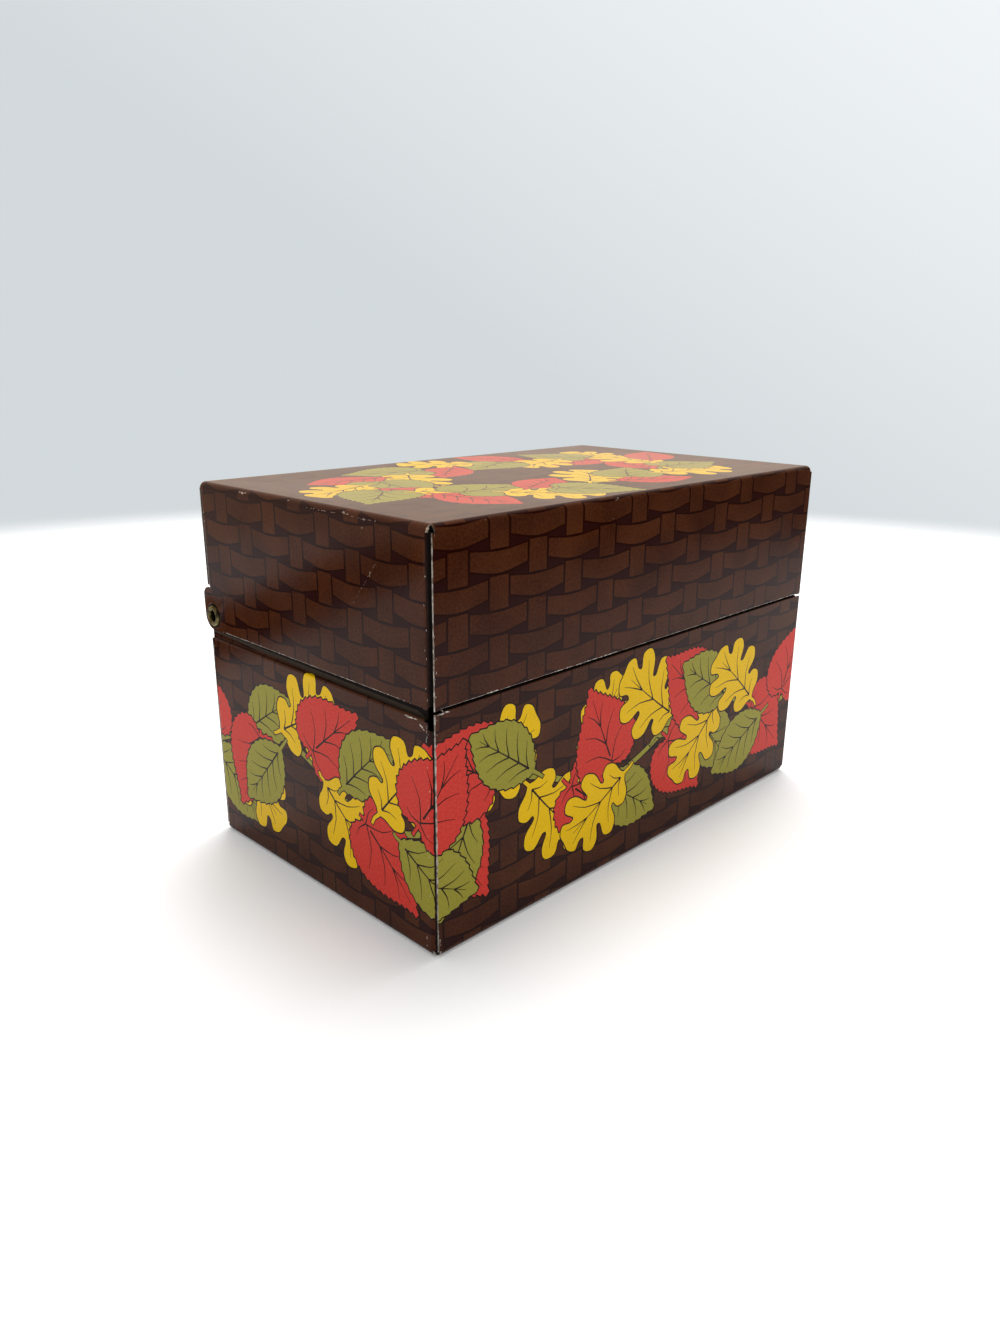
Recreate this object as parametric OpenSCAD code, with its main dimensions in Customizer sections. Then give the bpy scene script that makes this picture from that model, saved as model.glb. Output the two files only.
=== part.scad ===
// Hinged tinplate box for recipe cards.
// Two folded sheet shells, a base and a lid, turn on two tubular eyelets at the back corners.
// Millimetres. X runs along the long front, +Y to the hinge side, +Z up.
// The origin is the middle of the underside.

/* [Box] */
// Length over the end panels
box_w = 134; // [110:1:200]
// Depth over the front and back panels
box_d = 80; // [64:1:140]
// Height of the base's front panel, from the table to its ledge
base_h = 51.9; // [36:0.1:90]
// Height of the lid's front panel
lid_h = 34.5; // [26:0.1:70]
// Gap between the lid's front edge and the ledge that it closes on
ledge_gap = 0.15; // [0.1:0.05:0.5]
// Gap between the lid's back edge and the base's back panel
seam_gap = 0.5; // [0.3:0.1:1]

/* [Sheet] */
// Thickness of the tinplate
sheet_t = 0.3; // [0.24:0.01:0.36]
// Outer radius of the bends between the flat plates and their walls
bend_r = 1.5; // [1:0.1:3]
// Outer radius of the upright bends at the corners
corner_r = 1.3; // [0.8:0.1:2.5]
// How far the front and back panels' cut edges stop short of the box's ends
cut_edge_in = 0.5; // [0.3:0.1:0.8]

/* [Corner tabs] */
// Length of the tabs that reach behind the front and back panels
tab_w = 9; // [5:0.5:16]
// Slope taken off the top and bottom of a tab's free end
tab_slope = 3; // [1:0.5:6]
// Gap between the base's tabs and its front and back panels
base_tab_gap = 0.1; // [0.05:0.05:0.4]
// Gap between the lid's tabs and its front and back panels
lid_tab_gap = 0.35; // [0.05:0.05:0.5]
// Radius of the bite that frees the base's corner bends under the ledge
base_bite_r = 1.6; // [1:0.1:2.5]
// Radius of the bite at the lower end of the lid's corner bends
lid_bite_r = 0.8; // [0.4:0.1:1.5]

/* [Hems] */
// Height of the folded edges
hem_w = 3.5; // [2.5:0.1:6]
// Space left inside the fold
hem_gap = 0.2; // [0.1:0.05:0.4]
// How far a hem stops short of its panel's end
hem_relief = 2.2; // [1.8:0.1:4]
// Gap between a hem and the corner bend or tab beside it
hem_clear = 0.8; // [0.4:0.1:1.5]

/* [Rim of the base] */
// Height of the rim above the front panel
rim_h = 6.6; // [4:0.1:12]
// Clearance between the rim and the lid's hems
rim_clear = 0.2; // [0.15:0.05:0.5]
// Outer radius of the two square bends of the ledge that sets the rim in
step_r = 0.45; // [0.4:0.05:0.55]
// How much lower the ledge lies on the end panels
end_step_drop = 1.9; // [1.5:0.1:4]
// How far the rim stops short of the corners
rim_relief = 2.6; // [2:0.1:6]
// Radius of the rim's free corners
rim_corner_r = 1.8; // [0.5:0.1:4]

/* [Hinge] */
// Height of the pivot above the lid's lower edge
pivot_up = 3.4; // [3.4:0.1:6]
// Radius of the lid's end panel round the pivot
lobe_r = 3.35; // [3.2:0.05:4]
// Radius of the heel above it, which stands out behind the box
heel_r = 2.2; // [1.6:0.1:3]
// Height of the heel's centre above the pivot
heel_up = 4.5; // [3.5:0.1:5]
// How far the heel stands out behind the back panel
heel_out = 1.2; // [0.6:0.1:2]
// Height of the lid's back edge above the pivot
back_edge_up = 7.1; // [6.8:0.1:10]
// Radius of the base's ear round the pivot
ear_r = 4.2; // [3:0.1:6]
// Gap between the ear and the back panel
ear_gap = 0.15; // [0.1:0.05:0.4]
// Length of the plain edge between a hem and the pivot
hinge_plain = 5; // [4:0.5:12]

/* [Eyelets] */
// Radius of the hole through an eyelet
bore_r = 1.25; // [1:0.05:1.3]
// Wall of an eyelet
eyelet_t = 0.3; // [0.2:0.02:0.4]
// Radius of the round flange that shows outside
flange_r = 2.55; // [2.4:0.05:3]
// Radius of the roll that is clinched over inside
roll_r = 1.9; // [1.9:0.05:2.5]
// Gap between the roll and the back panel
roll_clear = 0.1; // [0.05:0.05:1]
// Running clearance between the lid and an eyelet
eyelet_play = 0.05; // [0.02:0.01:0.1]
// Clearance of an eyelet in the base's ear
eyelet_fit = 0.02; // [0.01:0.01:0.05]
// Depth of the dish pressed into the lid round an eyelet
dish_depth = 0.3; // [0.1:0.05:0.4]
// Outer radius of the two bends round the dish
dish_step_r = 0.4; // [0.36:0.02:0.8]
// Flat floor of the dish beyond the flange
dish_margin = 0.1; // [0.05:0.05:0.5]

/* [Hidden] */
$fn = 64;

half_w = box_w / 2;
half_d = box_d / 2;
lid_z = base_h + step_r + ledge_gap;
box_h = lid_z + lid_h;

// The flat part of an end panel stops this far from the front and back faces,
// and the plates' corners are cut away by as much.
base_relief = sheet_t + base_tab_gap + corner_r;
lid_relief = sheet_t + lid_tab_gap + corner_r;

hem_t = 2 * sheet_t + hem_gap;
rim_in = hem_t + rim_clear;
step_h = 2 * step_r - sheet_t;
ledge_w = rim_in - step_h;
end_step_z = base_h - end_step_drop;
rim_z = base_h + rim_h;

pivot_in = sheet_t + roll_r + roll_clear;
pivot_y = half_d - pivot_in;
pivot_z = lid_z + pivot_up;
ear_z = pivot_z + ear_r;
ear_y = half_d - sheet_t - ear_gap;
heel = [heel_out + pivot_in - heel_r, heel_up];
back_edge_z = pivot_z + back_edge_up;
back_top_z = back_edge_z - seam_gap;
hem_end_y = pivot_y - hinge_plain;
side_in = 0.005;

barrel_r = bore_r + eyelet_t;
dish_a = bend_angle(dish_depth, dish_step_r);
dish_floor_r = flange_r + dish_margin;
dish_r = dish_floor_r + bend_run(dish_a, dish_step_r);
flange_x = half_w - dish_depth + eyelet_play;
ear_in_x = half_w - rim_in - sheet_t;

print_brown = "saddlebrown";

// The dish's side is two equal and opposite bends of the sheet.
// Their angle follows from its depth, and their length from the angle.
function bend_angle(depth, r) = acos(1 - depth / (2 * r - sheet_t));
function bend_run(angle, r) = (2 * r - sheet_t) * sin(angle);

// Sector of a ring, from angle 0 to the given angle of up to 180 degrees
module ring_sector(r, thick, angle) {
    reach = 3 * r;
    half = angle / 2;
    intersection() {
        difference() {
            circle(r);
            circle(r - thick);
        }
        polygon(concat([[0, 0], [reach, 0]],
            [for (a = [half / 2, half, 3 * half / 2, angle]) reach * [cos(a), sin(a)]]));
    }
}

// Cross-section of a folded strip, drawn by walking along its outer face
// with the sheet on the left hand. [length] is a flat run, and
// [angle, r] a bend of outer radius r, to the left when the angle is positive.
module strip(moves, thick = sheet_t, k = 0) {
    if (k < len(moves)) {
        move = moves[k];
        if (len(move) == 1) {
            square([move[0], thick]);
            translate([move[0], 0]) strip(moves, thick, k + 1);
        } else if (move[0] > 0) {
            translate([0, move[1]]) {
                rotate(-90) ring_sector(move[1], thick, move[0]);
                rotate(move[0]) translate([0, -move[1]]) strip(moves, thick, k + 1);
            }
        } else {
            centre = thick - move[1];
            translate([0, centre]) {
                rotate(90 + move[0]) ring_sector(move[1], thick, -move[0]);
                rotate(move[0]) translate([0, -centre]) strip(moves, thick, k + 1);
            }
        }
    }
}

// Section of a hem, with the panel's face at x = 0, its edge at y = 0 and the inside at -x
module hem_section() {
    translate([-hem_t, hem_w]) rotate(-90)
        strip([[hem_w - hem_t / 2], [180, hem_t / 2]]);
}

// Extrude a section or an outline along X, with its own x as Y
module along_x(from, to) {
    translate([from, 0, 0]) rotate([90, 0, 90]) linear_extrude(to - from) children();
}

// Extrude a section or an outline along Y, with its own x as X
module along_y(from, to) {
    translate([0, to, 0]) rotate([90, 0, 0]) linear_extrude(to - from) children();
}

module on_both_ends() {
    for (flip = [0, 1]) mirror([flip, 0, 0]) children();
}

// Rectangle between two heights, the same distance to either side
module band(reach, low, high) {
    translate([-reach, low]) square([2 * reach, high - low]);
}

// The same with its upper corners rounded
module round_topped(left, right, low, high, r) {
    translate([left, low]) square([right - left, high - low - r]);
    translate([left + r, low]) square([right - left - 2 * r, high - low]);
    for (x = [left + r, right - r]) translate([x, high - r]) circle(r);
}

// Upright corner bend on an end panel, with its tab behind the front or back panel.
// The bend runs from low to high, and the tab from tab_low to tab_high.
module corner(side, gap, low, high, tab_low, tab_high) {
    bend_x = half_w - corner_r;
    tab_x = bend_x - tab_w;
    mirror([0, side > 0 ? 1 : 0, 0])
    intersection() {
        translate([tab_x, -half_d + sheet_t + gap, low])
            linear_extrude(high - low)
            strip([[tab_w], [90, corner_r]]);
        along_y(-half_d, 0) {
            translate([bend_x, low]) square([corner_r, high - low]);
            polygon([[bend_x, tab_low], [bend_x, tab_high],
                [tab_x, tab_high - tab_slope], [tab_x, tab_low + tab_slope]]);
        }
    }
}

// Two circles and the straight sides that join them.
// The sides lie a hair inside the tangents, so they cross the circles cleanly.
module lobe(r1, centre2, r2) {
    turn = atan2(centre2[1], centre2[0]);
    spread = acos((r1 - r2) / norm(centre2));
    circle(r1);
    translate(centre2) circle(r2);
    polygon([
        for (a = [turn + spread, turn - spread]) (r1 - side_in) * [cos(a), sin(a)],
        for (a = [turn - spread, turn + spread]) centre2 + (r2 - side_in) * [cos(a), sin(a)]
    ]);
}

module at_pivot() {
    translate([0, pivot_y, pivot_z]) rotate([0, 90, 0]) children();
}

// Base

module base_front_section() {
    translate([-half_d + rim_in, rim_z]) rotate(-90)
        strip([[rim_z - base_h - step_h], [-90, step_r], [ledge_w], [90, step_r],
            [base_h - bend_r], [90, bend_r], [half_d - bend_r]]);
}

module base_back_section() {
    strip([[half_d - bend_r], [90, bend_r], [back_top_z - bend_r]]);
}

module base_end_section() {
    strip([[half_w - bend_r], [90, bend_r], [end_step_z - bend_r],
        [90, step_r], [ledge_w], [-90, step_r], [ear_z - end_step_z - step_h]]);
}

module base_front_outline() {
    band(half_w - base_relief, 0, base_relief);
    band(half_w - cut_edge_in, base_relief, base_h);
    rim_reach = half_w - rim_relief;
    round_topped(-rim_reach, rim_reach, base_h, rim_z, rim_corner_r);
}

module base_back_outline() {
    band(half_w - base_relief, 0, base_relief);
    band(half_w - cut_edge_in, base_relief, end_step_z);
    reach = half_w - rim_in;
    difference() {
        round_topped(-reach, reach, end_step_z, back_top_z, rim_corner_r);
        band(reach - hem_relief, back_top_z - hem_t / 2, back_top_z);
    }
}

module base_end_outline() {
    front_y = -half_d + rim_relief;
    ledge_z = end_step_z + step_h;
    band(half_d - base_relief, 0, end_step_z);
    translate([front_y, end_step_z]) square([half_d - base_relief - front_y, step_h]);
    round_topped(front_y, pivot_y, ledge_z, rim_z, rim_corner_r);
    translate([pivot_y - ear_r, ledge_z]) square([ear_y - pivot_y + ear_r, rim_z - ledge_z]);
    intersection() {
        translate([pivot_y, pivot_z]) circle(ear_r);
        translate([pivot_y - ear_r, ledge_z]) square([ear_y - pivot_y + ear_r, ear_z - ledge_z]);
    }
}

// Round bites through the end panels and their corner bends, at a height
module bites(relief, r, height, sides) {
    for (side = sides)
        translate([half_w - relief - 2 * r, side * (half_d - relief / 2), height])
            rotate([0, 90, 0]) cylinder(h = 2 * relief + 2 * r, r = r);
}

module base_shell() color(print_brown) {
    difference() {
        union() {
            intersection() {
                along_x(-half_w, half_w) base_front_section();
                along_y(-half_d, 0) base_front_outline();
            }
            intersection() {
                along_x(-half_w, half_w) base_back_section();
                along_y(0, half_d) base_back_outline();
            }
            along_x(-half_w + rim_in + hem_relief, half_w - rim_in - hem_relief)
                translate([half_d, back_top_z]) mirror([0, 1]) hem_section();
            on_both_ends() {
                intersection() {
                    along_y(-half_d, half_d) base_end_section();
                    along_x(0, half_w) base_end_outline();
                }
                difference() {
                    for (side = [-1, 1])
                        corner(side, base_tab_gap, base_relief, end_step_z,
                            base_relief, end_step_z);
                    bites(base_relief, base_bite_r, end_step_z, [-1, 1]);
                }
            }
        }
        on_both_ends() at_pivot()
            translate([0, 0, ear_in_x - rim_in])
            cylinder(h = 2 * rim_in + sheet_t, r = barrel_r + eyelet_fit);
    }
}

// Lid

module lid_front_section() {
    translate([0, box_h]) rotate(180)
        strip([[half_d - bend_r], [90, bend_r], [lid_h - bend_r]]);
}

module lid_back_section() {
    translate([half_d, back_edge_z]) rotate(90)
        strip([[box_h - back_edge_z - bend_r], [90, bend_r], [half_d - bend_r]]);
}

module lid_end_section() {
    translate([half_w, lid_z]) rotate(90)
        strip([[lid_h - bend_r], [90, bend_r], [half_w - bend_r]]);
}

// Front and back panels differ only in where their lower edge lies
module lid_wall_outline(edge) {
    band(half_w - lid_relief, box_h - lid_relief, box_h);
    difference() {
        band(half_w - cut_edge_in, edge, box_h - lid_relief);
        band(half_w - hem_relief, edge, edge + hem_t / 2);
    }
}

module lid_end_outline() {
    reach = half_d - lid_relief;
    hem_start_y = -reach + hem_clear;
    difference() {
        union() {
            translate([-reach, lid_z]) square([reach + pivot_y, lid_h]);
            translate([-reach, pivot_z]) square([2 * reach, box_h - pivot_z]);
            translate([pivot_y, pivot_z]) lobe(lobe_r, heel, heel_r);
        }
        translate([hem_start_y, lid_z]) square([hem_end_y - hem_start_y, hem_t / 2]);
        translate([pivot_y, pivot_z]) circle(dish_r);
    }
}

module hinge_dish() {
    at_pivot() rotate_extrude()
        translate([dish_r, half_w]) rotate(180)
        strip([[dish_a, dish_step_r], [-dish_a, dish_step_r],
            [dish_floor_r - barrel_r - eyelet_play]]);
}

module lid_shell() color(print_brown) {
    intersection() {
        along_x(-half_w, half_w) lid_front_section();
        along_y(-half_d, 0) lid_wall_outline(lid_z);
    }
    intersection() {
        along_x(-half_w, half_w) lid_back_section();
        along_y(0, half_d) lid_wall_outline(back_edge_z);
    }
    along_x(-half_w + hem_relief, half_w - hem_relief) {
        translate([-half_d, lid_z]) mirror([1, 0]) hem_section();
        translate([half_d, back_edge_z]) hem_section();
    }
    on_both_ends() {
        intersection() {
            along_y(-half_d, half_d + heel_out) lid_end_section();
            along_x(0, half_w) lid_end_outline();
        }
        along_y(-half_d + lid_relief + hem_clear, hem_end_y)
            translate([half_w, lid_z]) hem_section();
        hinge_dish();
        difference() {
            corner(-1, lid_tab_gap, lid_z, box_h - lid_relief,
                lid_z + hem_w + hem_clear, box_h - lid_relief);
            bites(lid_relief, lid_bite_r, lid_z, [-1]);
        }
        corner(1, lid_tab_gap, back_edge_z, box_h - lid_relief,
            back_edge_z + hem_w + hem_clear, box_h - lid_relief);
    }
}

// Tubular eyelet with a round flange outside and a clinched roll inside
module eyelet() color("peru") {
    at_pivot() rotate_extrude()
        translate([flange_r, flange_x]) rotate(90)
        strip([[180, (flange_r - bore_r) / 2], [flange_x - ear_in_x],
            [180, (roll_r - bore_r) / 2]], eyelet_t);
}

module hinge_eyelet_left() mirror([1, 0, 0]) eyelet();

module hinge_eyelet_right() eyelet();

base_shell();
lid_shell();
hinge_eyelet_left();
hinge_eyelet_right();
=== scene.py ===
# Recipe card box in printed tinplate: a folded base and a folded lid that turn on two brass eyelets.
# Sizes are in millimetres and turn to metres only where a mesh is made.
import math
import random

import bpy
from mathutils import Matrix, Vector, noise
from mathutils.geometry import delaunay_2d_cdt


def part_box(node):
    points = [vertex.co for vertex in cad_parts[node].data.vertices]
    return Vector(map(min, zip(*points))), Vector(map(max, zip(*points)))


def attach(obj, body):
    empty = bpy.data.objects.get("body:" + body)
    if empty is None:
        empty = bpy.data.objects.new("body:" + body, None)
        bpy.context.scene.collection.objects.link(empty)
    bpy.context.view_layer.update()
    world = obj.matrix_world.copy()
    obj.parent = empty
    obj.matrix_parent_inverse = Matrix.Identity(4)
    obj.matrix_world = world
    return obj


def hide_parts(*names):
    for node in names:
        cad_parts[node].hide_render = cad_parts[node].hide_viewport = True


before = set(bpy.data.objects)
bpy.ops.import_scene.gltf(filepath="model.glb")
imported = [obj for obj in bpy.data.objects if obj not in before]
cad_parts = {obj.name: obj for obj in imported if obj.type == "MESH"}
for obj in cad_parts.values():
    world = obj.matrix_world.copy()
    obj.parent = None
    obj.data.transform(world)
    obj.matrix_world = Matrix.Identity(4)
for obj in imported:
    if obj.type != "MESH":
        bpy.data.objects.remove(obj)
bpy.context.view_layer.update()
mm = 0.001
print("frame loaded")

# The outer size comes from the frame, the rest repeats the model's own values
baseLow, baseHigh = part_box("base_shell")
lidLow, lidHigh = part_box("lid_shell")
box = {
    "halfW": round(baseHigh.x / mm, 3),
    "halfD": round(-baseLow.y / mm, 3),
    "height": round(lidHigh.z / mm, 3),
    "lidZ": round(lidLow.z / mm, 3),
    "pivotY": 37.7,
    "pivotUp": 3.4,
}
pivotZ = box["lidZ"] + box["pivotUp"]

# Both shells are folded from the same sheet
tin = {
    "thick": 0.3,
    "bendR": 1.5,
    "cornerR": 1.3,
    "cutEdgeIn": 0.5,
    "tabW": 9.0,
    "tabSlope": 3.0,
    "hemW": 3.5,
    "hemT": 0.8,
    "hemSlit": 0.2,
    "degreesPerFacet": 9.0,
    "dentDepth": 0.14,
    "dentSpan": 38.0,
    "dentMargin": 14.0,
    "gridStep": 5.0,
}
bendRun = math.radians(90) * tin["bendR"]
cornerRun = math.radians(90) * tin["cornerR"]
hemRun = math.radians(180) * tin["hemT"] / 2


# A folded strip in section, walked along its printed face with the sheet on the left hand.
# A move is (length,) or (degrees, outer radius), a bend to the left when positive.
class Fold:
    def __init__(self, start, heading, moves):
        self.parts = []
        at, angle, run = Vector(start), math.radians(heading), 0.0
        for move in moves:
            turn = math.radians(move[0]) if len(move) == 2 else 0.0
            radius = 0.0 if not turn else move[1] - (tin["thick"] if turn < 0 else 0.0)
            length = abs(turn) * radius if turn else move[0]
            self.parts.append((run, length, at, angle, turn, radius))
            at, angle = self.walk(self.parts[-1], length)
            run += length

    def walk(self, part, run):
        at, angle, turn, radius = part[2:]
        if not turn:
            return at + run * Vector((math.cos(angle), math.sin(angle))), angle
        side = math.copysign(1, turn)
        newAngle = angle + side * run / radius
        centre = at + side * radius * Vector((-math.sin(angle), math.cos(angle)))
        return centre - side * radius * Vector((-math.sin(newAngle), math.cos(newAngle))), newAngle

    # The point at a run along the printed face, and so deep in the sheet
    def at(self, run, depth):
        for part in self.parts:
            if run <= part[0] + part[1]:
                break
        point, angle = self.walk(part, run - part[0])
        return point + depth * Vector((-math.sin(angle), math.cos(angle)))

    def creases(self):
        lines = []
        for part in self.parts:
            start, length, turn = part[0], part[1], part[4]
            if turn:
                steps = max(4, round(math.degrees(abs(turn)) / tin["degreesPerFacet"]))
                lines += [start + length * k / steps for k in range(steps + 1)]
        return lines


# From 0 to 1 with soft ends
def smoothStep(value):
    value = min(max(value, 0.0), 1.0)
    return value * value * (3 - 2 * value)


# Shallow dents that the flat panels take in use: inwards only, and flat again near every fold
def dent(x, y, room, seed):
    if room <= 0:
        return 0.0
    wave = noise.noise(Vector((x / tin["dentSpan"], y / tin["dentSpan"], seed)))
    return tin["dentDepth"] * (0.5 + 0.5 * wave) * smoothStep(room / tin["dentMargin"])


# The same for a wall in its own coordinates, between two runs up it
def dentedWall(halfWide, low, high, seed):
    def press(along, run):
        return dent(along, run, min(halfWide - abs(along), run - low, high - run), seed)

    return press


# Runs up a wall of a blank, from the plate's edge to a height
def runTo(up):
    return bendRun + up - tin["bendR"]


# Points on an arc, with its angles in degrees
def arc(x, y, radius, fromAngle, toAngle, steps=6):
    angles = [math.radians(fromAngle + (toAngle - fromAngle) * k / steps) for k in range(steps + 1)]
    return [(x + radius * math.cos(a), y + radius * math.sin(a)) for a in angles]


def counterClockwise(loop):
    area = sum(a[0] * b[1] - b[0] * a[1] for a, b in zip(loop, loop[1:] + loop[:1]))
    return loop if area > 0 else loop[::-1]


# The outline of a wall that is the same on both sides, from its right half
def mirrored(half):
    return half + [(-along, run) for along, run in half[::-1]]


# The printed basket weave, measured off the panels: the pitches of its stakes on the long walls and
# on the ends, the pitch of its rows, the sizes of its strands and stakes, and the inks' tones with the
# size of their clouds
weave = {
    "stakePitch": 21.2,
    "endPitch": 19.0,
    "rowPitch": 5.87,
    "strandW": 4.7,
    "taper": 0.65,
    "sag": 1.15,
    "stakeW": 5.5,
    "outline": 0.27,
    "blur": 0.07,
    "cloud": 14.0,
    "cane": ("#34160a", "#502914"),
    "ground": ("#210602", "#290d0a"),
}


# The drawn corners beside the plate, each split where the end's tab goes in behind the long wall: the
# outline with its ragged slit, and the rubbed rim on each side of the slit, as (degrees from the end
# wall's side, share of the bend)
cap = {
    "outline": [(0, 0), (0, 1), (12, 0.98), (24, 0.99), (33, 0.93), (29, 0.8), (37, 0.68), (33, 0.56),
                (40, 0.42), (49, 0.31), (60, 0.4), (66, 0.56), (69, 0.75), (72, 0.9), (72, 0.99),
                (81, 1), (90, 1)],
    "worn": [[(6, 0.99), (14, 0.8), (9, 0.66), (19, 0.48), (22, 0.24), (45, 0.16), (49, 0.32), (36, 0.5),
              (40, 0.8), (36, 1)],
             [(45, 0.16), (68, 0.26), (76, 0.5), (80, 0.8), (79, 1.01), (66, 1.01), (62, 0.6),
              (48, 0.33)]],
    "rings": (0.2, 0.4, 0.6, 0.8),
}


# The flat blank of a shell: its plate in the middle, the walls round it and tabs beside the end walls.
# Each piece has an outline on the blank, and knows where its points go when it is folded.
class Blank:
    def __init__(self, shell):
        self.shell = shell
        self.pieces, self.creases, self.holes, self.shapes, self.grid = [], [], [], [], []
        self.reach = (box["halfW"] - tin["bendR"], box["halfD"] - tin["bendR"])

    def toZ(self, up):
        return up if self.shell == "base" else box["height"] - up

    def addPiece(self, panel, outline, place, printAt):
        self.pieces.append({"panel": panel, "outline": outline, "place": place, "printAt": printAt})

    def addGrid(self, toBlank, across, up):
        step = tin["gridStep"]
        for i in range(1, int((across[1] - across[0]) / step)):
            for j in range(1, int((up[1] - up[0]) / step)):
                self.grid.append(toBlank(across[0] + i * step, up[0] + j * step))

    def addPlate(self, phase, seed):
        x, y = self.reach
        outline = [(x, y), (-x, y), (-x, -y), (x, -y)]

        def place(p, q, depth):
            return Vector((p, q, self.toZ(depth + dent(p, q, min(x - abs(p), y - abs(q)), seed))))

        def printAt(p, q):
            return p - phase[0], q - phase[1]

        self.addPiece("plate", outline, place, printAt)
        self.addGrid(lambda a, b: (a, b), (-x, x), (-y, y))
        for signX in (-1, 1):
            for signY in (-1, 1):
                self.addCap(signX, signY, printAt)

    # A corner cap is folded on a ball
    def addCap(self, signX, signY, printAt):
        x, y = self.reach

        def toBlank(angle, share):
            reach = share * bendRun
            return (signX * (x + reach * math.cos(math.radians(angle))),
                    signY * (y + reach * math.sin(math.radians(angle))))

        def place(p, q, depth):
            out = Vector((signX * p - x, signY * q - y))
            turn = out.length / tin["bendR"]
            flat = out.normalized() * (tin["bendR"] - depth) * math.sin(turn) if turn else out
            up = tin["bendR"] - (tin["bendR"] - depth) * math.cos(turn)
            return Vector((signX * (x + flat.x), signY * (y + flat.y), self.toZ(up)))

        self.addPiece("cap", [toBlank(*point) for point in cap["outline"]], place, printAt)
        for share in cap["rings"]:
            ring = [toBlank(angle, share) for angle in range(0, 91, 10)]
            self.creases += list(zip(ring, ring[1:]))
        for worn in cap["worn"]:
            self.shapes.append(("cap", [toBlank(*point) for point in worn], "worn"))

    # A wall's outline is given as (along, run from the plate's edge)
    def addWall(self, panel, fold, outline, phase, press=None, flat=None):
        axis = 0 if panel in ("left", "right") else 1
        sign = -1 if panel in ("left", "front") else 1
        edge = self.reach[axis]
        stretch = weave["stakePitch"] / weave["endPitch"] if axis == 0 else 1.0

        def toBlank(along, run):
            return (sign * (edge + run), along) if axis == 0 else (along, sign * (edge + run))

        def toWall(p, q):
            return (q, sign * p - edge) if axis == 0 else (p, sign * q - edge)

        def place(p, q, depth):
            along, run = toWall(p, q)
            out, up = fold.at(run, depth + (press(along, run) if press else 0.0))
            point = (sign * out, along) if axis == 0 else (along, sign * out)
            return Vector((*point, self.toZ(up)))

        def printAt(p, q):
            along, run = toWall(p, q)
            return (along - phase[0]) * stretch, self.toZ(tin["bendR"] + run - bendRun) - phase[1]

        self.addPiece(panel, [toBlank(*point) for point in outline], place, printAt)
        alongs = [point[0] for point in outline]
        runs = [point[1] for point in outline]
        for run in fold.creases():
            if min(runs) - 1e-6 <= run <= max(runs) + 1e-6:
                self.creases.append((toBlank(min(alongs), run), toBlank(max(alongs), run)))
        if flat:
            self.addGrid(toBlank, (min(alongs), max(alongs)), flat)
        return toBlank

    # A hem: the bend at a wall's edge and the flange folded back inside, with slits beside it
    def addHem(self, panel, foldAt, low, high, phase):
        moves = [(90, tin["bendR"]), (foldAt - bendRun,), (180, tin["hemT"] / 2), (tin["hemW"],)]
        fold = Fold((self.reach[0 if panel in ("left", "right") else 1], 0), 0, moves)
        start = fold.parts[2][0]
        bent = start + hemRun
        end = bent + tin["hemW"] - tin["hemT"] / 2
        low += tin["hemSlit"]
        high -= tin["hemSlit"]
        outline = [(low, start), (high, start), (high, bent), (high - 1, end), (low + 1, end), (low, bent)]
        self.addWall(panel, fold, outline, phase)

    # An upright corner bend beside an end wall and the tab that it ends in, as (run round it, run up)
    def addCorner(self, panel, signY, start, wallFold, outline, phase):
        sign = -1 if panel == "left" else 1
        edge = self.reach[0]
        plan = Fold((box["halfW"], start), 90, [(90, tin["cornerR"]), (tin["tabW"],)])
        stretch = weave["stakePitch"] / weave["endPitch"]

        def toBlank(bent, run):
            return sign * (edge + run), signY * (start + bent)

        def place(p, q, depth):
            x, y = plan.at(signY * q - start, depth)
            return Vector((sign * x, signY * y, self.toZ(wallFold.at(sign * p - edge, 0)[1])))

        def printAt(p, q):
            z = self.toZ(tin["bendR"] + sign * p - edge - bendRun)
            return (q - phase[0]) * stretch, z - phase[1]

        self.addPiece(panel, [toBlank(*point) for point in outline], place, printAt)
        runs = [point[1] for point in outline]
        for bent in plan.creases():
            self.creases.append((toBlank(bent, min(runs)), toBlank(bent, max(runs))))

    # Paints a loop of (along, height on the finished box) on one panel. On the plate it is (x, y).
    def paint(self, panel, loop, ink):
        if panel in ("left", "right"):
            sign = -1 if panel == "left" else 1
            loop = [(sign * (self.reach[0] + runTo(self.toZ(z))), along) for along, z in loop]
        elif panel in ("front", "back"):
            sign = -1 if panel == "front" else 1
            loop = [(along, sign * (self.reach[1] + runTo(self.toZ(z)))) for along, z in loop]
        self.shapes.append((panel, loop, ink))

    # Paints a loop of (distance round the box from its front left corner, height) on the walls it meets
    def paintRound(self, loop, ink):
        w, d = box["halfW"], box["halfD"]
        sides = [("front", w, 1, w), ("right", 2 * w + d, 1, d + 2), ("back", 3 * w + 2 * d, -1, w),
                 ("left", 4 * w + 3 * d, -1, d + 2)]
        for panel, centre, direction, half in sides:
            for lap in (-1, 0, 1):
                alongs = [direction * (point[0] + lap * 4 * (w + d) - centre) for point in loop]
                if min(alongs) < half and max(alongs) > -half:
                    self.paint(panel, [(along, point[1]) for along, point in zip(alongs, loop)], ink)

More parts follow.
